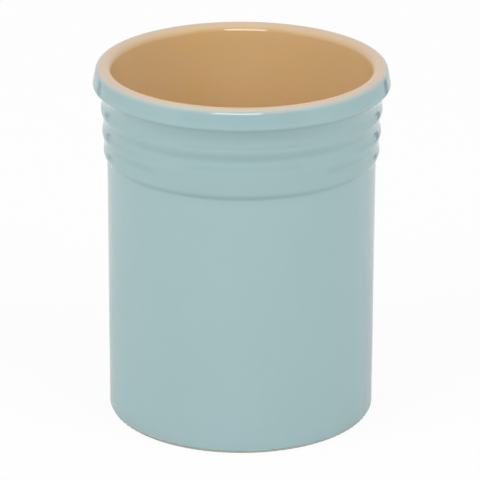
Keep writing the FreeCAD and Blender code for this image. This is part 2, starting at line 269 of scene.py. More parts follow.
@dataclass(frozen=True)
class CrockSection:
    """The crock's section over its glaze, as bends that straight runs join."""

    sizes: CrockSizes

    def ribs(self) -> list[Round]:
        """Place the crests of the three ribs.

        Returns:
            Their circles, the lowest first.
        """
        sizes = self.sizes
        centre = sizes.wall_radius - sizes.rib_round
        pairs = zip(sizes.rib_rises, sizes.rib_drops)
        return [Round(centre + rise, sizes.height - drop, sizes.rib_round) for rise, drop in pairs]

    def collar(self) -> Round:
        """Lower edge of the collar."""
        sizes, bend = self.sizes, self.sizes.collar_round
        return Round(sizes.collar_radius - bend, sizes.collar_low + bend, bend)

    def root(self, rib: Round) -> Round:
        """Hollow where the lowest rib runs into the wall.

        Args:
            rib: The lowest rib.

        Returns:
            The circle that lies on the wall and touches the rib.
        """
        wall, bend = self.sizes.wall_radius, self.sizes.root_round
        across = wall + bend - rib.out
        drop = math.sqrt((bend + rib.radius) ** 2 - across ** 2)
        return Round(wall + bend, rib.up - drop, bend)

    def hollow(self, lower: Round, upper: Round, rise: float) -> Round:
        """Hollow between two crests.

        Args:
            lower: The crest below the hollow.
            upper: The crest above the hollow.
            rise: How far the hollow's floor stands out from the plain wall.

        Returns:
            The circle that lies on the hollow's floor and touches both crests.
        """
        floor = self.sizes.wall_radius + rise
        apart = upper.up - lower.up
        low, high = lower.crest() - floor, upper.crest() - floor
        low_chord = low * (2.0 * lower.radius - low)
        high_chord = high * (2.0 * upper.radius - high)
        taper = 1.0 - high / low
        reach = apart ** 2 + low_chord - high_chord - taper * low_chord
        step = reach / (apart + math.sqrt(apart ** 2 - taper * reach))
        radius = (step ** 2 - low_chord) / (2.0 * low)
        return Round(floor + radius, lower.up + step, radius)

    def hollows(self) -> list[Round]:
        """Hollows above each rib, the lowest first."""
        crests = [*self.ribs(), self.collar()]
        return [self.hollow(*around) for around in zip(crests, crests[1:], self.sizes.hollow_rises)]

    def outside(self) -> list[Bend]:
        """Follow the outside from the foot to the lip.

        Returns:
            Bends from the rolled edge above the foot to the border on the lip.
        """
        sizes, edge = self.sizes, self.sizes.glaze_roll
        roll = Round(sizes.wall_radius - edge, sizes.glaze_line + edge, edge)
        ribs, collar, lip = self.ribs(), self.collar(), sizes.outer_lip
        root = self.root(ribs[0])
        crests = [*ribs, collar]
        bends = [
            Bend(roll, -90.0, 0.0, False),
            Bend(root, 180.0, root.towards(ribs[0]), True),
        ]
        arriving = root.towards(ribs[0]) - 180.0
        for crest, following, hollow in zip(crests, crests[1:], self.hollows()):
            leaving, meeting = crest.towards(hollow), hollow.towards(following)
            bends.append(Bend(crest, arriving, leaving, False))
            bends.append(Bend(hollow, leaving + 180.0, meeting, True))
            arriving = meeting - 180.0
        face = collar.touching(lip)
        bends.append(Bend(collar, arriving, face, False))
        bends.append(Bend(lip, face, 90.0 - sizes.seam_angle, False))
        return bends

    def inside(self) -> list[Bend]:
        """Follow the inside from the lip to the floor.

        Returns:
            Bends from the border on the lip to the edge of the flat floor.
        """
        sizes, edge = self.sizes, self.sizes.lip_edge
        flare, bend = sizes.flare_round, sizes.floor_round
        throat = Round(sizes.well_radius + flare, edge.up - sizes.flare_height, flare)
        cone = edge.touching(throat) + 360.0
        corner = Round(sizes.well_radius - bend, sizes.lining_floor + bend, bend)
        return [
            Bend(sizes.outer_lip, 90.0 - sizes.seam_angle, 90.0, False),
            Bend(sizes.lip_top, 90.0, 90.0 + sizes.lip_turn, False),
            Bend(edge, 90.0 + sizes.lip_turn, cone, False),
            Bend(throat, cone, 180.0, False),
            Bend(corner, 0.0, -90.0, True),
        ]


def trace(bends: Sequence[Bend], depth: float, fineness: Fineness) -> list[Point]:
    """Follow bends and the straight runs between them.

    Args:
        bends: The bends in order.
        depth: Distance under the glaze's surface.
        fineness: How closely to sample.

    Returns:
        Points along the whole path.
    """
    sag, longest = fineness.value
    path: list[Point] = []
    for bend in bends:
        arc = bend.points(depth, sag)
        if path:
            start, end = Vector(path[-1]), Vector(arc[0])
            gap = (end - start).length
            count = math.ceil(gap / longest)
            path.extend(tuple(start.lerp(end, i / count)) for i in range(1, count))
            arc = arc[1:] if gap < sag else arc
        path.extend(arc)
    return path


def add_plane(name: str, size: float, **placing: Sequence[float]) -> Piece:
    """Add a plane, with everything else deselected first.

    Args:
        name: Name of the new object and its mesh.
        size: Length of its sides.
        **placing: Its location and rotation.

    Returns:
        The new object.
    """
    bpy.ops.object.select_all(action="DESELECT")
    bpy.ops.mesh.primitive_plane_add(size=size, **placing)
    plane = bpy.context.object
    plane.name = plane.data.name = name
    return plane


@dataclass(frozen=True)
class Lathe:
    """Turns a drawn section about the crock's axis into a closed coat."""

    turns: int = 240
    merge_within: float = 0.001 * MM
    sharp_edge: float = 40.0

    def turn(self, name: str, outline: Sequence[OutlinePoint], ring: bool) -> Piece:
        """Draw a section vertex by vertex and spin it.

        Args:
            name: Name of the new object.
            outline: The section's vertices in order.
            ring: Whether the section closes on itself; otherwise both its ends lie on the axis.

        Returns:
            The turned object, with its normals pointing outwards.
        """
        coat = self._draw(name, outline)
        self._note(coat, outline)
        if ring:
            self._close(coat.data)
        bpy.ops.object.mode_set(mode="EDIT")
        bpy.ops.mesh.select_all(action="SELECT")
        bpy.ops.mesh.spin(
            steps=self.turns, angle=math.tau, center=(0, 0, 0), axis=(0, 0, 1), use_auto_merge=True
        )
        bpy.ops.mesh.select_all(action="SELECT")
        bpy.ops.mesh.remove_doubles(threshold=self.merge_within)
        bpy.ops.mesh.normals_make_consistent(inside=False)
        bpy.ops.object.mode_set(mode="OBJECT")
        return coat

    def _draw(self, name: str, outline: Sequence[OutlinePoint]) -> Piece:
        """Extrude one vertex along the section, in the plane of X and Z.

        Args:
            name: Name of the new object.
            outline: The section's vertices in order.

        Returns:
            The drawn section.
        """
        coat = add_plane(name, MM)
        bpy.ops.object.mode_set(mode="EDIT")
        bpy.ops.mesh.merge(type="CENTER")
        bpy.ops.transform.translate(value=(outline[0].out, 0.0, outline[0].up))
        for here, there in zip(outline, outline[1:]):
            step = (there.out - here.out, 0.0, there.up - here.up)
            bpy.ops.mesh.extrude_vertices_move(TRANSFORM_OT_translate={"value": step})
        bpy.ops.object.mode_set(mode="OBJECT")
        return coat

    @staticmethod
    def _note(coat: Piece, outline: Sequence[OutlinePoint]) -> None:
        """Write the glaze's thickness, with any painted shade, and the share of unevenness on the
        section's vertices.

        Args:
            coat: The drawn section.
            outline: Its vertices in order.
        """
        pool = coat.data.attributes.new(POOL, "FLOAT", "POINT")
        pool.data.foreach_set("value", [point.pool for point in outline])
        sway = coat.vertex_groups.new(name=SWAY)
        for index, point in enumerate(outline):
            sway.add([index], point.sway, "REPLACE")

    @staticmethod
    def _close(mesh: bpy.types.Mesh) -> None:
        """Join the last vertex of a section to its first.

        Args:
            mesh: The drawn section's mesh.
        """
        for vertex in mesh.vertices:
            vertex.select = vertex.index in (0, len(mesh.vertices) - 1)
        bpy.ops.object.mode_set(mode="EDIT")
        bpy.ops.mesh.edge_face_add()
        bpy.ops.object.mode_set(mode="OBJECT")

    def finish(self, coat: Piece) -> None:
        """Shade a coat smooth, apart from its free edges.

        Args:
            coat: The turned coat.
        """
        bpy.ops.object.select_all(action="DESELECT")
        coat.select_set(True)
        bpy.context.view_layer.objects.active = coat
        bpy.ops.object.shade_smooth_by_angle(angle=math.radians(self.sharp_edge))


@dataclass(frozen=True)
class Unevenness:
    """The slight waves of a cast and fired surface."""

    height: float = 0.16 * MM
    length: float = 34.0 * MM
    layers: int = 1

    def apply(self, coat: Piece) -> None:
        """Push a coat's faces in and out along their normals, less towards its borders.

        Args:
            coat: The turned coat.
        """
        waves = bpy.data.textures.new(f"{coat.name}_waves", "CLOUDS")
        waves.noise_scale = self.length
        waves.noise_depth = self.layers
        push = coat.modifiers.new("waves", "DISPLACE")
        push.texture = waves
        push.texture_coords = "LOCAL"
        push.strength = self.height
        push.vertex_group = SWAY
        bpy.context.view_layer.objects.active = coat
        bpy.ops.object.modifier_apply(modifier=push.name)


@dataclass(frozen=True)
class Grain:
    """A noise, by its features to the metre and its layers of finer detail."""

    per_metre: float
    layers: float


class NodeCanvas:
    """A shader node tree that is filled in code."""

    def __init__(self, tree: bpy.types.NodeTree) -> None:
        """Start on an emptied tree."""
        self.tree = tree
        tree.nodes.clear()

    def feed(self, socket: Socket, value: object) -> None:
        """Link a socket to another one, or set it to a plain value.

        Args:
            socket: The socket to feed.
            value: A socket or a value.
        """
        if isinstance(value, Socket):
            self.tree.links.new(value, socket)
        else:
            socket.default_value = value

    def add(
        self, kind: str, inputs: Mapping[str | int, object] | None = None, **settings: object
    ) -> bpy.types.Node:
        """Add a node.

        Args:
            kind: The node's type.
            inputs: Values or sockets for its inputs, by name or number.
            **settings: The node's own properties.

        Returns:
            The new node.
        """
        node = self.tree.nodes.new(kind)
        for name, value in settings.items():
            setattr(node, name, value)
        for key, value in (inputs or {}).items():
            self.feed(node.inputs[key], value)
        return node

    def math(self, operation: str, *values: object) -> Socket:
        """Add a Math node and return its output."""
        return self.add("ShaderNodeMath", dict(enumerate(values)), operation=operation).outputs[0]

    def ease(self, value: object, low: object, high: object) -> Socket:
        """Ease from 0 at low to 1 at high."""
        inputs = {"Value": value, "From Min": low, "From Max": high}
        return self.add("ShaderNodeMapRange", inputs, interpolation_type="SMOOTHSTEP").outputs[0]

    def blend(self, share: object, first: object, second: object) -> Socket:
        """Mix two colours: the first at share 0, the second at share 1."""
        return self.add("ShaderNodeMix", {0: share, 6: first, 7: second}, data_type="RGBA").outputs[2]

    def noise(self, place: Socket, grain: Grain) -> Socket:
        """Add a noise from 0 to 1."""
        inputs = {"Vector": place, "Scale": grain.per_metre, "Detail": grain.layers}
        return self.add("ShaderNodeTexNoise", inputs).outputs[0]

    def waver(self, place: Socket, grain: Grain) -> Socket:
        """Add a noise to both sides of 0."""
        return self.math("SUBTRACT", self.noise(place, grain), NOISE_MIDDLE)

    def spots(self, place: Socket, per_metre: float, reach: Span, empty: float) -> Socket:
        """Add a mask of round spots, each in a cell of its own.

        Args:
            place: Where the mask is read.
            per_metre: Cells to the metre.
            reach: Distances from a spot's middle, in cells, where it fades out and where it is full.
            empty: Share of the cells that have no spot.

        Returns:
            The mask, from 0 to 1.
        """
        cells = self.add("ShaderNodeTexVoronoi", {"Vector": place, "Scale": per_metre})
        spot = self.ease(cells.outputs["Distance"], *reach)
        pick = self.add("ShaderNodeSeparateColor", {0: cells.outputs["Color"]}).outputs[0]
        return self.math("MULTIPLY", spot, self.math("GREATER_THAN", pick, empty))

    def place(self) -> Socket:
        """Coordinates of the piece itself."""
        return self.add("ShaderNodeTexCoord").outputs["Object"]

    def out(self, place: Socket) -> Socket:
        """Distance of a place from the crock's axis."""
        flat = self.add("ShaderNodeVectorMath", {0: place, 1: (1.0, 1.0, 0.0)}, operation="MULTIPLY")
        return self.add("ShaderNodeVectorMath", {0: flat.outputs[0]}, operation="LENGTH").outputs["Value"]

    def up(self, place: Socket) -> Socket:
        """Height of a place."""
        return self.add("ShaderNodeSeparateXYZ", {0: place}).outputs["Z"]

    def end(self, shader: bpy.types.Node) -> None:
        """Make a shader the surface of the material."""
        self.add("ShaderNodeOutputMaterial", {"Surface": shader.outputs[0]})


def new_material(name: str) -> tuple[Material, NodeCanvas]:
    """Start a material.

    Args:
        name: Name of the material.

    Returns:
        The material and the canvas of its node tree.
    """
    material = bpy.data.materials.new(name)
    material.use_nodes = True
    return material, NodeCanvas(material.node_tree)


def set_finish(piece: Piece, material: Material) -> None:
    """Give a piece its finish."""
    piece.data.materials.clear()
    piece.data.materials.append(material)


class SocketKind(Enum):
    """Kinds of socket on a node group."""

    NUMBER = "NodeSocketFloat"
    COLOUR = "NodeSocketColor"
    VECTOR = "NodeSocketVector"


def new_group(
    name: str, inputs: Mapping[str, SocketKind], outputs: Mapping[str, SocketKind]
) -> tuple[NodeCanvas, bpy.types.NodeOutputs, bpy.types.NodeInputs]:
    """Start a node group with named sockets.

    Args:
        name: Name of the group.
        inputs: Kinds of its inputs by name.
        outputs: Kinds of its outputs by name.

    Returns:
        The canvas, the sockets that bring the inputs and the sockets that take the outputs.
    """
    tree = bpy.data.node_groups.new(name, "ShaderNodeTree")
    for direction, sockets in (("INPUT", inputs), ("OUTPUT", outputs)):
        for socket, kind in sockets.items():
            tree.interface.new_socket(name=socket, in_out=direction, socket_type=kind.value)
    canvas = NodeCanvas(tree)
    return canvas, canvas.add("NodeGroupInput").outputs, canvas.add("NodeGroupOutput").inputs


@dataclass(frozen=True)
class GlazeBody:
    """What every glaze here shares: depth where it pools, faint clouds, orange peel and pinholes."""

    clouds: Grain = Grain(34.0, 3.0)
    ripple: Grain = Grain(190.0, 2.0)
    ripple_roughness: float = 0.06
    ripple_height: float = 0.6
    peel: Grain = Grain(620.0, 1.0)
    peel_height: float = 0.22
    pinholes_per_metre: float = 95.0
    pinhole_reach: Span = (0.030, 0.012)
    pinhole_free: float = 0.72
    pinhole_shade: float = 0.82
    pinhole_roughness: float = 0.25

    def group(self) -> bpy.types.NodeTree:
        """Build the node group.

        Returns:
            A group that gives the colour, roughness and height of a glaze at each place.
        """
        canvas, given, result = new_group(
            "glaze_body",
            {
                "Place": SocketKind.VECTOR,
                "Colour": SocketKind.COLOUR,
                "Deep Colour": SocketKind.COLOUR,
                "Pool": SocketKind.NUMBER,
                "Clouding": SocketKind.NUMBER,
                "Gloss": SocketKind.NUMBER,
            },
            {"Colour": SocketKind.COLOUR, "Roughness": SocketKind.NUMBER, "Height": SocketKind.NUMBER},
        )
        place = given["Place"]
        ripple = canvas.waver(place, self.ripple)
        peel = canvas.math("MULTIPLY", canvas.noise(place, self.peel), self.peel_height)
        pinholes = canvas.spots(place, self.pinholes_per_metre, self.pinhole_reach, self.pinhole_free)

        clouds = canvas.math("ADD", canvas.waver(place, self.clouds), ripple)
        drift = canvas.math("MULTIPLY", clouds, given["Clouding"])
        # the Pool input also carries painted shade under the blue coat's ribs
        depth = canvas.math("ADD", given["Pool"], drift)
        depth.node.use_clamp = True
        colour = canvas.blend(depth, given["Colour"], given["Deep Colour"])
        shade = canvas.math("MULTIPLY", pinholes, 1.0 - self.pinhole_shade)
        light = canvas.math("SUBTRACT", 1.0, shade)
        shaded = canvas.add("ShaderNodeHueSaturation", {"Value": light, "Color": colour})
        canvas.feed(result["Colour"], shaded.outputs[0])

        rippled = canvas.math("MULTIPLY_ADD", ripple, self.ripple_roughness, given["Gloss"])
        roughness = canvas.math("MULTIPLY_ADD", pinholes, self.pinhole_roughness, rippled)
        canvas.feed(result["Roughness"], roughness)

        swell = canvas.math("MULTIPLY_ADD", ripple, self.ripple_height, peel)
        canvas.feed(result["Height"], canvas.math("SUBTRACT", swell, pinholes))
        return canvas.tree


@dataclass(frozen=True)
class LipBorder:
    """The border of the two glazes on the lip: they run into each other and lie thin over the edge, where
    a pale band also paints a highlight along the lip.
    """

    sizes: CrockSizes
    half_width: float = 0.75 * MM
    thin_and_highlight_width: float = 1.9 * MM
    thin_and_highlight_shift: float = 0.3 * MM
    thin_and_highlight_share: float = 0.5
    wander: float = 0.5 * MM
    wander_grain: Grain = Grain(60.0, 2.0)

    def group(self) -> bpy.types.NodeTree:
        """Build the node group.

        Returns:
            A group that gives the colour of both glazes at each place on the lip and below it.
        """
        canvas, given, result = new_group(
            "lip_border",
            {
                "Place": SocketKind.VECTOR,
                "Inside Colour": SocketKind.COLOUR,
                "Outside Colour": SocketKind.COLOUR,
                "Thin And Highlight Colour": SocketKind.COLOUR,
                "Outside Below Lip": SocketKind.NUMBER,
            },
            {"Colour": SocketKind.COLOUR},
        )
        lip = self.sizes.outer_lip
        place = given["Place"]
        above = canvas.math("SUBTRACT", canvas.up(place), lip.up)
        lean = canvas.math("ARCTAN2", canvas.math("SUBTRACT", canvas.out(place), lip.out), above)
        past_seam = canvas.math("SUBTRACT", lean, math.radians(self.sizes.seam_angle))
        along = canvas.math("MULTIPLY", past_seam, lip.radius)
        across = canvas.math("MULTIPLY_ADD", canvas.waver(place, self.wander_grain), self.wander, along)

        on_lip = canvas.math("GREATER_THAN", above, 0.0)
        share = canvas.ease(across, -self.half_width, self.half_width)
        below = given["Outside Below Lip"]
        outside = canvas.math("MULTIPLY_ADD", on_lip, canvas.math("SUBTRACT", share, below), below)
        both = canvas.blend(outside, given["Inside Colour"], given["Outside Colour"])
        # painted highlight: a pale band along the border on the lip, partly thin glaze
        off_thin_and_highlight = canvas.math("ABSOLUTE", canvas.math("SUBTRACT", across, self.thin_and_highlight_shift))
        near = canvas.ease(off_thin_and_highlight, self.thin_and_highlight_width, 0.0)
        thin_and_highlight = canvas.math("MULTIPLY", canvas.math("MULTIPLY", near, on_lip), self.thin_and_highlight_share)
        canvas.feed(result["Colour"], canvas.blend(thin_and_highlight, both, given["Thin And Highlight Colour"]))
        return canvas.tree


@dataclass(frozen=True)
class Effects:
    """Node groups that the glazes share."""

    glaze_body: bpy.types.NodeTree
    lip_border: bpy.types.NodeTree


@dataclass(frozen=True)
class GlazeColours:
    """Colours of both glazes where they lie plain, pooled and thin; the thin colour also paints a
    highlight on the lip.
    """

    blue: Colour = (0.346, 0.489, 0.504, 1.0)
    # deep colour of pooled glaze, also used for the painted shade on the ribs' undersides
    deep_and_shaded_blue: Colour = (0.297, 0.433, 0.432, 1.0)
    cream: Colour = (0.638, 0.478, 0.326, 1.0)
    deep_cream: Colour = (0.697, 0.461, 0.215, 1.0)
    # partly thin glaze, partly painted highlight along the border on the lip
    thin_and_highlight: Colour = (0.580, 0.566, 0.500, 1.0)
    foot: Colour = (0.500, 0.600, 0.570, 1.0)


@dataclass(frozen=True)
class GlazeFinish:
    """A glossy stoneware glaze.

    Args:
        name: Name of the material.
        side: The side of the crock that it covers.
        colours: Colours of both glazes.
        ior: Index of refraction.
        gloss: Roughness of the clean glaze.
        clouding: How far clouds change the glaze's depth.
        peel_depth: Depth of the orange peel.
        peel_strength: Share of that depth that shows.
        foot_edge: Heights between which the glaze thins out over the foot, or None.
        foot_wander: How far that edge strays up and down.
        foot_grain: The noise that it strays by.
    """

    name: str
    side: GlazeSide
    colours: GlazeColours
    ior: float
    gloss: float = 0.085
    clouding: float = 0.5
    peel_depth: float = 0.05 * MM
    peel_strength: float = 0.35
    foot_edge: Span | None = None
    foot_wander: float = 1.2 * MM
    foot_grain: Grain = Grain(120.0, 2.0)

    def material(self, effects: Effects) -> Material:
        """Build the material.

        Args:
            effects: The node groups to place in it.

        Returns:
            The new material.
        """
        material, canvas = new_material(self.name)
        place = canvas.place()
        outside = self.side is GlazeSide.OUTSIDE
        colours = self.colours
        body = canvas.add(
            "ShaderNodeGroup",
            {
                "Place": place,
                "Colour": colours.blue if outside else colours.cream,
                "Deep Colour": colours.deep_and_shaded_blue if outside else colours.deep_cream,
                "Pool": canvas.add("ShaderNodeAttribute", attribute_name=POOL).outputs["Fac"],
                "Clouding": self.clouding,
                "Gloss": self.gloss,
            },
            node_tree=effects.glaze_body,
        )
        border = canvas.add(
            "ShaderNodeGroup",
            {
                "Place": place,
                "Inside Colour": colours.cream if outside else body.outputs["Colour"],
                "Outside Colour": body.outputs["Colour"] if outside else colours.blue,
                "Thin And Highlight Colour": colours.thin_and_highlight,
                "Outside Below Lip": self.side.value,
            },
            node_tree=effects.lip_border,
        )
        colour = border.outputs["Colour"]
        if self.foot_edge:
            colour = self._thin_foot(canvas, place, colour)
        height, roughness = body.outputs["Height"], body.outputs["Roughness"]
        relief = {"Strength": self.peel_strength, "Distance": self.peel_depth, "Height": height}
        normal = canvas.add("ShaderNodeBump", relief).outputs[0]
        look = {"Base Color": colour, "Roughness": roughness, "Normal": normal, "IOR": self.ior}
        canvas.end(canvas.add("ShaderNodeBsdfPrincipled", look))
        return material

    def _thin_foot(self, canvas: NodeCanvas, place: Socket, colour: Socket) -> Socket:
        """Let the clay show through where the glaze thins out above the foot.

        Args:
            canvas: The tree to add to.
            place: Coordinates of the piece.
            colour: The glaze's colour away from the foot.

        Returns:
            The colour with the thin edge.
        """
        low, high = self.foot_edge
        stray = canvas.waver(place, self.foot_grain)
        height = canvas.math("MULTIPLY_ADD", stray, self.foot_wander, canvas.up(place))
        return canvas.blend(canvas.ease(height, high, low), colour, self.colours.foot)


@dataclass(frozen=True)
class ClayFinish:
    """Bare fired stoneware: buff, grainy and flecked, with a darker grey-green band next to the outside
    glaze that is partly glaze stain and partly painted shade.
    """

    name: str = "bare_stoneware"
    pale: Colour = (0.640, 0.520, 0.390, 1.0)
    dark: Colour = (0.500, 0.385, 0.270, 1.0)
    fleck: Colour = (0.200, 0.130, 0.080, 1.0)
    tinge_and_shade: Colour = (0.400, 0.450, 0.410, 1.0)
    tinge_and_shade_rise: Span = (0.1 * MM, 0.6 * MM)
    tinge_and_shade_from: float = 52.0 * MM
    stain: Grain = Grain(45.0, 4.0)
    stain_range: Span = (0.35, 0.7)
    grain: Grain = Grain(1500.0, 3.0)
    grain_tint: float = 0.35
    grain_depth: float = 0.06 * MM
    grain_strength: float = 0.8
    grain_roughness: float = 0.25
    flecks_per_metre: float = 420.0
    fleck_reach: Span = (0.32, 0.18)
    fleck_free: float = 0.8
    fleck_tint: float = 0.6
    fleck_height: float = -0.5
    roughness: float = 0.7

    def material(self) -> Material:
        """Build the material.

        Returns:
            The new material.
        """
        material, canvas = new_material(self.name)
        place = canvas.place()
        stain = canvas.ease(canvas.noise(place, self.stain), *self.stain_range)
        grain = canvas.noise(place, self.grain)
        flecks = canvas.spots(place, self.flecks_per_metre, self.fleck_reach, self.fleck_free)
        # partly painted shade: a darker grey-green band on the outer bare clay just below the outside
        # glaze
        outside = canvas.math("GREATER_THAN", canvas.out(place), self.tinge_and_shade_from)
        tinged_and_shaded = canvas.math("MULTIPLY", canvas.ease(canvas.up(place), *self.tinge_and_shade_rise), outside)
        colour = canvas.blend(stain, self.pale, self.dark)
        colour = canvas.blend(canvas.math("MULTIPLY", grain, self.grain_tint), colour, self.dark)
        colour = canvas.blend(canvas.math("MULTIPLY", flecks, self.fleck_tint), colour, self.fleck)
        colour = canvas.blend(tinged_and_shaded, colour, self.tinge_and_shade)
        height = canvas.math("MULTIPLY_ADD", flecks, self.fleck_height, grain)
        relief = {"Strength": self.grain_strength, "Distance": self.grain_depth, "Height": height}
        normal = canvas.add("ShaderNodeBump", relief).outputs[0]
        roughness = canvas.math("MULTIPLY_ADD", grain, self.grain_roughness, self.roughness)
        look = {"Base Color": colour, "Roughness": roughness, "Normal": normal}
        canvas.end(canvas.add("ShaderNodeBsdfPrincipled", look))
        return material


@dataclass(frozen=True)
class GlazeCoat:
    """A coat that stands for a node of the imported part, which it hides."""

    section: CrockSection
    lathe: Lathe
    node: CadNode
    slot: Slot

    def dress(self, piece: Piece, material: Material) -> None:
        """Give the built coat its finish and its place in the part.

        Args:
            piece: The built coat.
            material: Its finish.
        """
        set_finish(piece, material)
        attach(piece, ROOT)
        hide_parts(self.node.value)
        LOG.info("%s: %d vertices for %s", piece.name, len(piece.data.vertices), self.node.value)


@dataclass(frozen=True)
class OutsideCoat(GlazeCoat):
    """The blue coat, from above the foot over ribs and collar to the border on the lip."""

    node: CadNode = CadNode.OUTSIDE
    slot: Slot = Slot.BLUE
    unevenness: Unevenness = Unevenness()
    panel_length: float = 72.0 * MM
    panel_end: float = 7.0 * MM
    panel_end_past: float = 4.0 * MM
    sway_fade: float = 6.0 * MM
    wall_pool: float = 0.05
    rib_pool: float = 0.26
    rib_approach: float = 7.0 * MM
    # painted shade: a darker band on the downward-facing underside of each rib
    underside_shade_pool: float = 0.75
    underside_shade_reach: float = 2.0 * MM
    underside_shade_lift: float = 1.85 * MM
    edge_pool: float = 0.03
    edge_reach: Span = (0.3 * MM, 3.0 * MM)

    def outline(self) -> list[OutlinePoint]:
        """Draw the coat's closed section.

        Returns:
            Its vertices, up the shown side and down against the clay.
        """
        sizes = self.section.sizes
        bends = self.section.outside()
        shown = trace(bends, 0.0, Fineness.SHOWN)
        hidden = trace(bends[1:], sizes.glaze, Fineness.HIDDEN)[::-1]
        hidden.append((sizes.wall_radius - sizes.glaze, sizes.glaze_line))
        return [self._point(out, up) for out, up in shown + hidden]

    def _point(self, out: float, up: float) -> OutlinePoint:
        """Vertex of the outline, with an uneven surface away from the collar and the foot."""
        away = min(up, self.section.sizes.collar_low - up)
        return OutlinePoint(out, up, self._pool_and_shade(up), smooth_step(0.0, self.sway_fade, away))

    def _pool_and_shade(self, up: float) -> float:
        """Deepen the glaze from the ribs up, paint shade on each rib's underside, and make the collar's
        lower edge paler.

        Args:
            up: A height.

        Returns:
            The glaze's thickness with the painted shade, from 0 to 1.
        """
        ribs = self.section.ribs()
        ribbed = smooth_step(ribs[0].up - self.rib_approach, ribs[0].up, up)
        pool = self.wall_pool + (self.rib_pool - self.wall_pool) * ribbed
        # painted shade: darken the colour on each rib's underside, just above the hollow below it
        under_ribs = [self.section.root(ribs[0]), *self.section.hollows()[:-1]]
        for hollow in under_ribs:
            away = abs(up - hollow.up - self.underside_shade_lift)
            pool += (self.underside_shade_pool - pool) * smooth_step(self.underside_shade_reach, 0.0, away)
        start, end = (self.section.sizes.collar_low + reach for reach in self.edge_reach)
        half = (start + end) / 2.0
        edge = smooth_step(start, half, up) * smooth_step(end, half, up)
        return pool + (self.edge_pool - pool) * edge

    def build(self) -> Piece:
        """Turn the coat, fill its panel and let it sway a little.

        Returns:
            The finished coat.
        """
        coat = self.lathe.turn("blue_outside_coat", self.outline(), ring=True)
        self._fill_panel(coat.data)
        self.unevenness.apply(coat)
        self.lathe.finish(coat)
        return coat

    def _fill_panel(self, mesh: bpy.types.Mesh) -> None:
        """Fill the groove between the two lower ribs at the front, evenly glazed and fading at its ends.

        Args:
            mesh: The turned coat's mesh.
        """
        low, high, _ = self.section.ribs()
        groove = self.section.hollows()[0]
        wall = self.section.sizes.wall_radius
        slope = (high.crest() - low.crest()) / (high.up - low.up)
        touch_out, touch_up = low.at(-math.degrees(math.atan(slope)))
        faded_at = self.panel_length / 2.0 + self.panel_end_past
        pool = mesh.attributes[POOL].data
        for vertex in mesh.vertices:
            up = vertex.co.z
            out = math.hypot(vertex.co.x, vertex.co.y)
            if not low.up < up < high.up or out < wall:
                continue
            flush = touch_out + slope * (up - touch_up)
            along = abs(math.atan2(vertex.co.x, -vertex.co.y)) * wall
            share = smooth_step(faded_at, faded_at - self.panel_end, along)
            fill = max(0.0, flush - self._relief(up, low, groove, high)) * share
            vertex.co.x *= 1.0 + fill / out
            vertex.co.y *= 1.0 + fill / out
            pool[vertex.index].value += (self.rib_pool - pool[vertex.index].value) * share

    @staticmethod
    def _relief(up: float, low: Round, groove: Round, high: Round) -> float:
        """Find the ribbed surface at a height between two crests.

        Args:
            up: The height.
            low: The lower crest.
            groove: The hollow between the crests.
            high: The upper crest.

        Returns:
            The surface's distance from the axis.
        """
        for circle in (low, high):
            touch = circle.at(circle.towards(groove))[1]
            if min(circle.up, touch) <= up <= max(circle.up, touch):
                return circle.out + math.sqrt(circle.radius ** 2 - (up - circle.up) ** 2)
        return groove.out - math.sqrt(groove.radius ** 2 - (up - groove.up) ** 2)


@dataclass(frozen=True)
class Lining(GlazeCoat):
    """The cream coat, from the border on the lip down the throat and the well, over the floor."""

    node: CadNode = CadNode.INSIDE
    slot: Slot = Slot.CREAM
    floor_rings: int = 12
    lip_depths: Span = (0.05 * MM, 2.5 * MM)
    floor_rise: float = 12.0 * MM
    wall_pool: float = 0.85

    def outline(self) -> list[OutlinePoint]:
        """Draw the coat's section.

        Returns:
            Its vertices, from the middle of the floor to the lip and back against the clay.
        """
        sizes = self.section.sizes
        bends = self.section.inside()
        path: list[Point] = []
        for depth, fineness, order in ((0.0, Fineness.SHOWN, -1), (sizes.glaze, Fineness.HIDDEN, 1)):
            side = trace(bends, depth, fineness)
            out, up = side[-1]
            side += [(out * (1.0 - i / self.floor_rings), up) for i in range(1, self.floor_rings + 1)]
            path += side[::order]
        return [self._point(out, up) for out, up in path]

    def _point(self, out: float, up: float) -> OutlinePoint:
        """Let the glaze lie thin on the lip, thicker below it and thickest on the floor.

        Args:
            out: Distance from the axis.
            up: Height.

        Returns:
            The outline's vertex there.
        """
        sizes = self.section.sizes
        wall = smooth_step(*self.lip_depths, sizes.height - up)
        floor = smooth_step(sizes.lining_floor + self.floor_rise, sizes.lining_floor, up)
        return OutlinePoint(out, up, self.wall_pool * wall + (1.0 - self.wall_pool) * floor, 0.0)

    def build(self) -> Piece:
        """Turn the coat.

        Returns:
            The finished coat.
        """
        coat = self.lathe.turn("cream_lining", self.outline(), ring=False)
        self.lathe.finish(coat)
        return coat


class LampRole(Enum):
    """What a lamp does for the picture: it lights surfaces, or it shows as a glint in the glaze."""

    LIGHT = "light"
    GLINT = "glint"


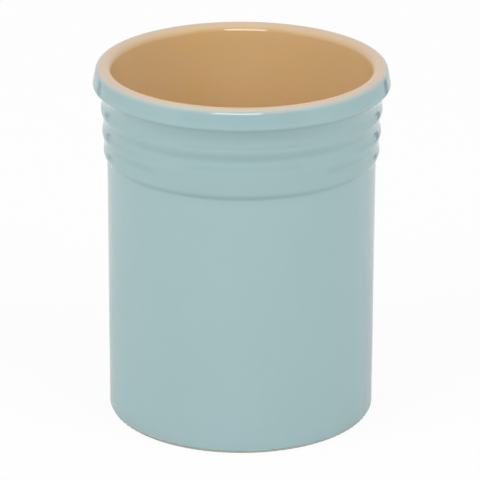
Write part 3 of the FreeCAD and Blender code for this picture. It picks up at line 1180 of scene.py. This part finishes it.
@dataclass(frozen=True)
class Softbox:
    """A rectangular lamp.

    Args:
        name: Name of the lamp.
        place: Where it hangs.
        power: Its power in watts.
        size: Its width and height.
        aim: The point that it faces.
        role: What it is there for.
    """

    name: str
    place: tuple[float, float, float]
    power: float
    size: tuple[float, float] = (1.20, 1.20)
    aim: tuple[float, float, float] = (0.0, 0.0, 0.075)
    role: LampRole = LampRole.LIGHT

    def build(self) -> None:
        """Hang the lamp and turn it to its aim."""
        bpy.ops.object.light_add(type="AREA", location=self.place)
        lamp = bpy.context.object
        lamp.name = self.name
        lamp.data.shape = "RECTANGLE"
        lamp.data.size, lamp.data.size_y = self.size
        lamp.data.energy = self.power
        lamp.visible_diffuse = self.role is LampRole.LIGHT
        lamp.visible_glossy = self.role is LampRole.GLINT
        look = Vector(self.aim) - Vector(self.place)
        lamp.rotation_euler = look.to_track_quat("-Z", "Y").to_euler()


STRIP = Softbox(
    name="strip",
    place=(-0.10, -1.566, 0.963),
    power=17.5,
    size=(1.10, 0.84),
    aim=(0.0, 0.0, 0.120),
    role=LampRole.GLINT,
)
LEFT_KEY = Softbox(name="left_key", place=(-1.160, -0.910, 1.360), power=17.0)
RIGHT_KEY = Softbox(name="right_key", place=(1.160, -0.910, 1.360), power=14.5)
UNDER_FILL = Softbox(name="under_fill", place=(0.0, 0.0, -1.50), power=10.0)
BACK_FILL = Softbox(name="back_fill", place=(0.0, 1.60, 0.30), power=6.5, size=(1.20, 0.50))


@dataclass(frozen=True)
class DarkCard:
    """An unlit side of the room, which shows only as the glaze mirrors it.

    Args:
        name: Name of the card.
        size: Its width and height.
        place: Where it stands on the floor, facing the crock.
        tone: Its colour.
    """

    name: str
    size: tuple[float, float]
    place: tuple[float, float]
    tone: Colour = (0.05, 0.05, 0.05, 1.0)

    def build(self) -> None:
        """Stand the card up and hide it from all but mirrored rays."""
        width, height = self.size
        aside, behind = self.place
        card = add_plane(
            self.name,
            size=1.0,
            location=(aside, behind, height / 2.0),
            rotation=(math.pi / 2.0, 0.0, math.atan2(-aside, behind)),
        )
        card.scale = (width, height, 1.0)
        for ray in ("camera", "diffuse", "shadow", "transmission"):
            setattr(card, f"visible_{ray}", False)
        material, canvas = new_material(self.name)
        canvas.end(canvas.add("ShaderNodeBsdfDiffuse", {"Color": self.tone}))
        set_finish(card, material)


ROOM = DarkCard(name="dark_room", size=(4.6, 4.0), place=(0.0, -2.2))
RIGHT_FLAG = DarkCard(name="right_flag", size=(0.070, 0.080), place=(0.280, 0.317))
LEFT_FLAG = DarkCard(
    name="left_flag",
    size=(0.067, 0.080),
    place=(-0.309, 0.292),
    tone=(0.30, 0.30, 0.30, 1.0),
)


@dataclass(frozen=True)
class Studio:
    """A white table in soft light, its lamps and the camera."""

    floor_size: float = 6.0
    floor_tone: Colour = (0.85, 0.85, 0.85, 1.0)
    floor_glow: float = 0.92
    floor_gloss: float = 0.1
    floor_gap: float = 0.05 * MM
    floor_hole: float = 53.5 * MM
    sky: float = 0.52
    sky_gloss: float = 0.55
    lamps: tuple[Softbox, ...] = (STRIP, LEFT_KEY, RIGHT_KEY, BACK_FILL, UNDER_FILL)
    cards: tuple[DarkCard, ...] = (ROOM, LEFT_FLAG, RIGHT_FLAG)
    lens: float = 248.9
    camera_distance: float = 1.384
    camera_tilt: float = 20.83
    crock_middle: float = 75.0 * MM
    aim_aside: float = -0.54 * MM
    aim_drop: float = 2.34 * MM
    roll: float = 0.16

    def build(self) -> None:
        """Set up the floor, the light, the colour management and the camera."""
        self._floor()
        self._sky()
        for thing in (*self.cards, *self.lamps):
            thing.build()
        self._camera()
        bpy.context.scene.view_settings.view_transform = "Standard"

    @staticmethod
    def _seen(canvas: NodeCanvas, direct: float, mirrored: float) -> Socket:
        """Tell the white that is seen from the light that falls.

        Args:
            canvas: The tree to add to.
            direct: Share of white that is seen directly or through glass.
            mirrored: Share of white that is seen in a reflection.

        Returns:
            The share of white, which is 0 for rays that only light a surface.
        """
        path = canvas.add("ShaderNodeLightPath").outputs
        seen = canvas.math("MULTIPLY", path["Is Glossy Ray"], mirrored)
        for ray in ("Is Camera Ray", "Is Transmission Ray"):
            seen = canvas.math("MULTIPLY_ADD", path[ray], direct, seen)
        seen.node.use_clamp = True
        return seen

    def _floor(self) -> None:
        """Lay a white floor with a faint shadow, seen only from above and open under the crock."""
        floor = add_plane("white_floor", self.floor_size, location=(0.0, 0.0, -self.floor_gap))
        material, canvas = new_material(floor.name)
        glow = canvas.add("ShaderNodeEmission")
        paper = canvas.add("ShaderNodeBsdfDiffuse", {"Color": self.floor_tone})
        share = self._seen(canvas, self.floor_glow, self.floor_gloss)
        lit = canvas.add("ShaderNodeMixShader", {0: share, 1: paper.outputs[0], 2: glow.outputs[0]})
        clear = canvas.add("ShaderNodeBsdfTransparent")
        under = canvas.add("ShaderNodeNewGeometry").outputs["Backfacing"]
        hole = canvas.math("LESS_THAN", canvas.out(canvas.place()), self.floor_hole)
        unseen = canvas.math("MAXIMUM", under, hole)
        top = canvas.add("ShaderNodeMixShader", {0: unseen, 1: lit.outputs[0], 2: clear.outputs[0]})
        canvas.end(top)
        set_finish(floor, material)

    def _sky(self) -> None:
        """Surround the crock with even white light."""
        world = bpy.data.worlds.new("white_tent")
        world.use_nodes = True
        canvas = NodeCanvas(world.node_tree)
        white = (1.0, 1.0, 1.0, 1.0)
        shown = canvas.add("ShaderNodeBackground", {"Color": white, "Strength": 1.0})
        light = canvas.add("ShaderNodeBackground", {"Color": white, "Strength": self.sky})
        share = self._seen(canvas, 1.0, self.sky_gloss)
        both = canvas.add("ShaderNodeMixShader", {0: share, 1: light.outputs[0], 2: shown.outputs[0]})
        canvas.add("ShaderNodeOutputWorld", {"Surface": both.outputs[0]})
        bpy.context.scene.world = world

    def _camera(self) -> None:
        """Set the camera where the photograph was taken from."""
        tilt = math.radians(self.camera_tilt)
        middle = Vector((0.0, 0.0, self.crock_middle))
        place = middle + Vector((0.0, -math.cos(tilt), math.sin(tilt))) * self.camera_distance
        aim = middle + Vector((self.aim_aside, 0.0, -self.aim_drop))
        bpy.ops.object.camera_add(location=place)
        camera = bpy.context.object
        camera.name = "camera"
        camera.data.lens = self.lens
        level = (aim - place).to_track_quat("-Z", "Y")
        turn = level @ Quaternion((0.0, 0.0, 1.0), math.radians(self.roll))
        camera.rotation_euler = turn.to_euler()
        bpy.context.scene.camera = camera


def main() -> None:
    """Build and dress the crock piece by piece, then set the studio up round it."""
    logging.basicConfig(level=logging.INFO, format="%(name)s: %(message)s")
    sizes = CrockSizes.from_frame()
    section = CrockSection(sizes)
    lathe = Lathe()
    colours = GlazeColours()
    effects = Effects(GlazeBody().group(), LipBorder(sizes).group())
    foot_fade = 0.7 * MM
    foot_edge = (sizes.glaze_line, sizes.glaze_line + foot_fade)
    blue = GlazeFinish(
        "blue_glaze", GlazeSide.OUTSIDE, colours, ior=1.50, clouding=0.17, foot_edge=foot_edge
    ).material(effects)
    cream = GlazeFinish("cream_glaze", GlazeSide.INSIDE, colours, ior=1.60).material(effects)
    clay = ClayFinish().material()

    for coat, material in ((OutsideCoat(section, lathe), blue), (Lining(section, lathe), cream)):
        coat.dress(coat.build(), material)
    for node, material in ((CadNode.CLAY, clay), (CadNode.UNDERSIDE, cream)):
        set_finish(frame["nodes"][node.value], material)
        LOG.info("%s: finished in %s", node.value, material.name)
    Studio().build()


if __name__ == "__main__":
    main()
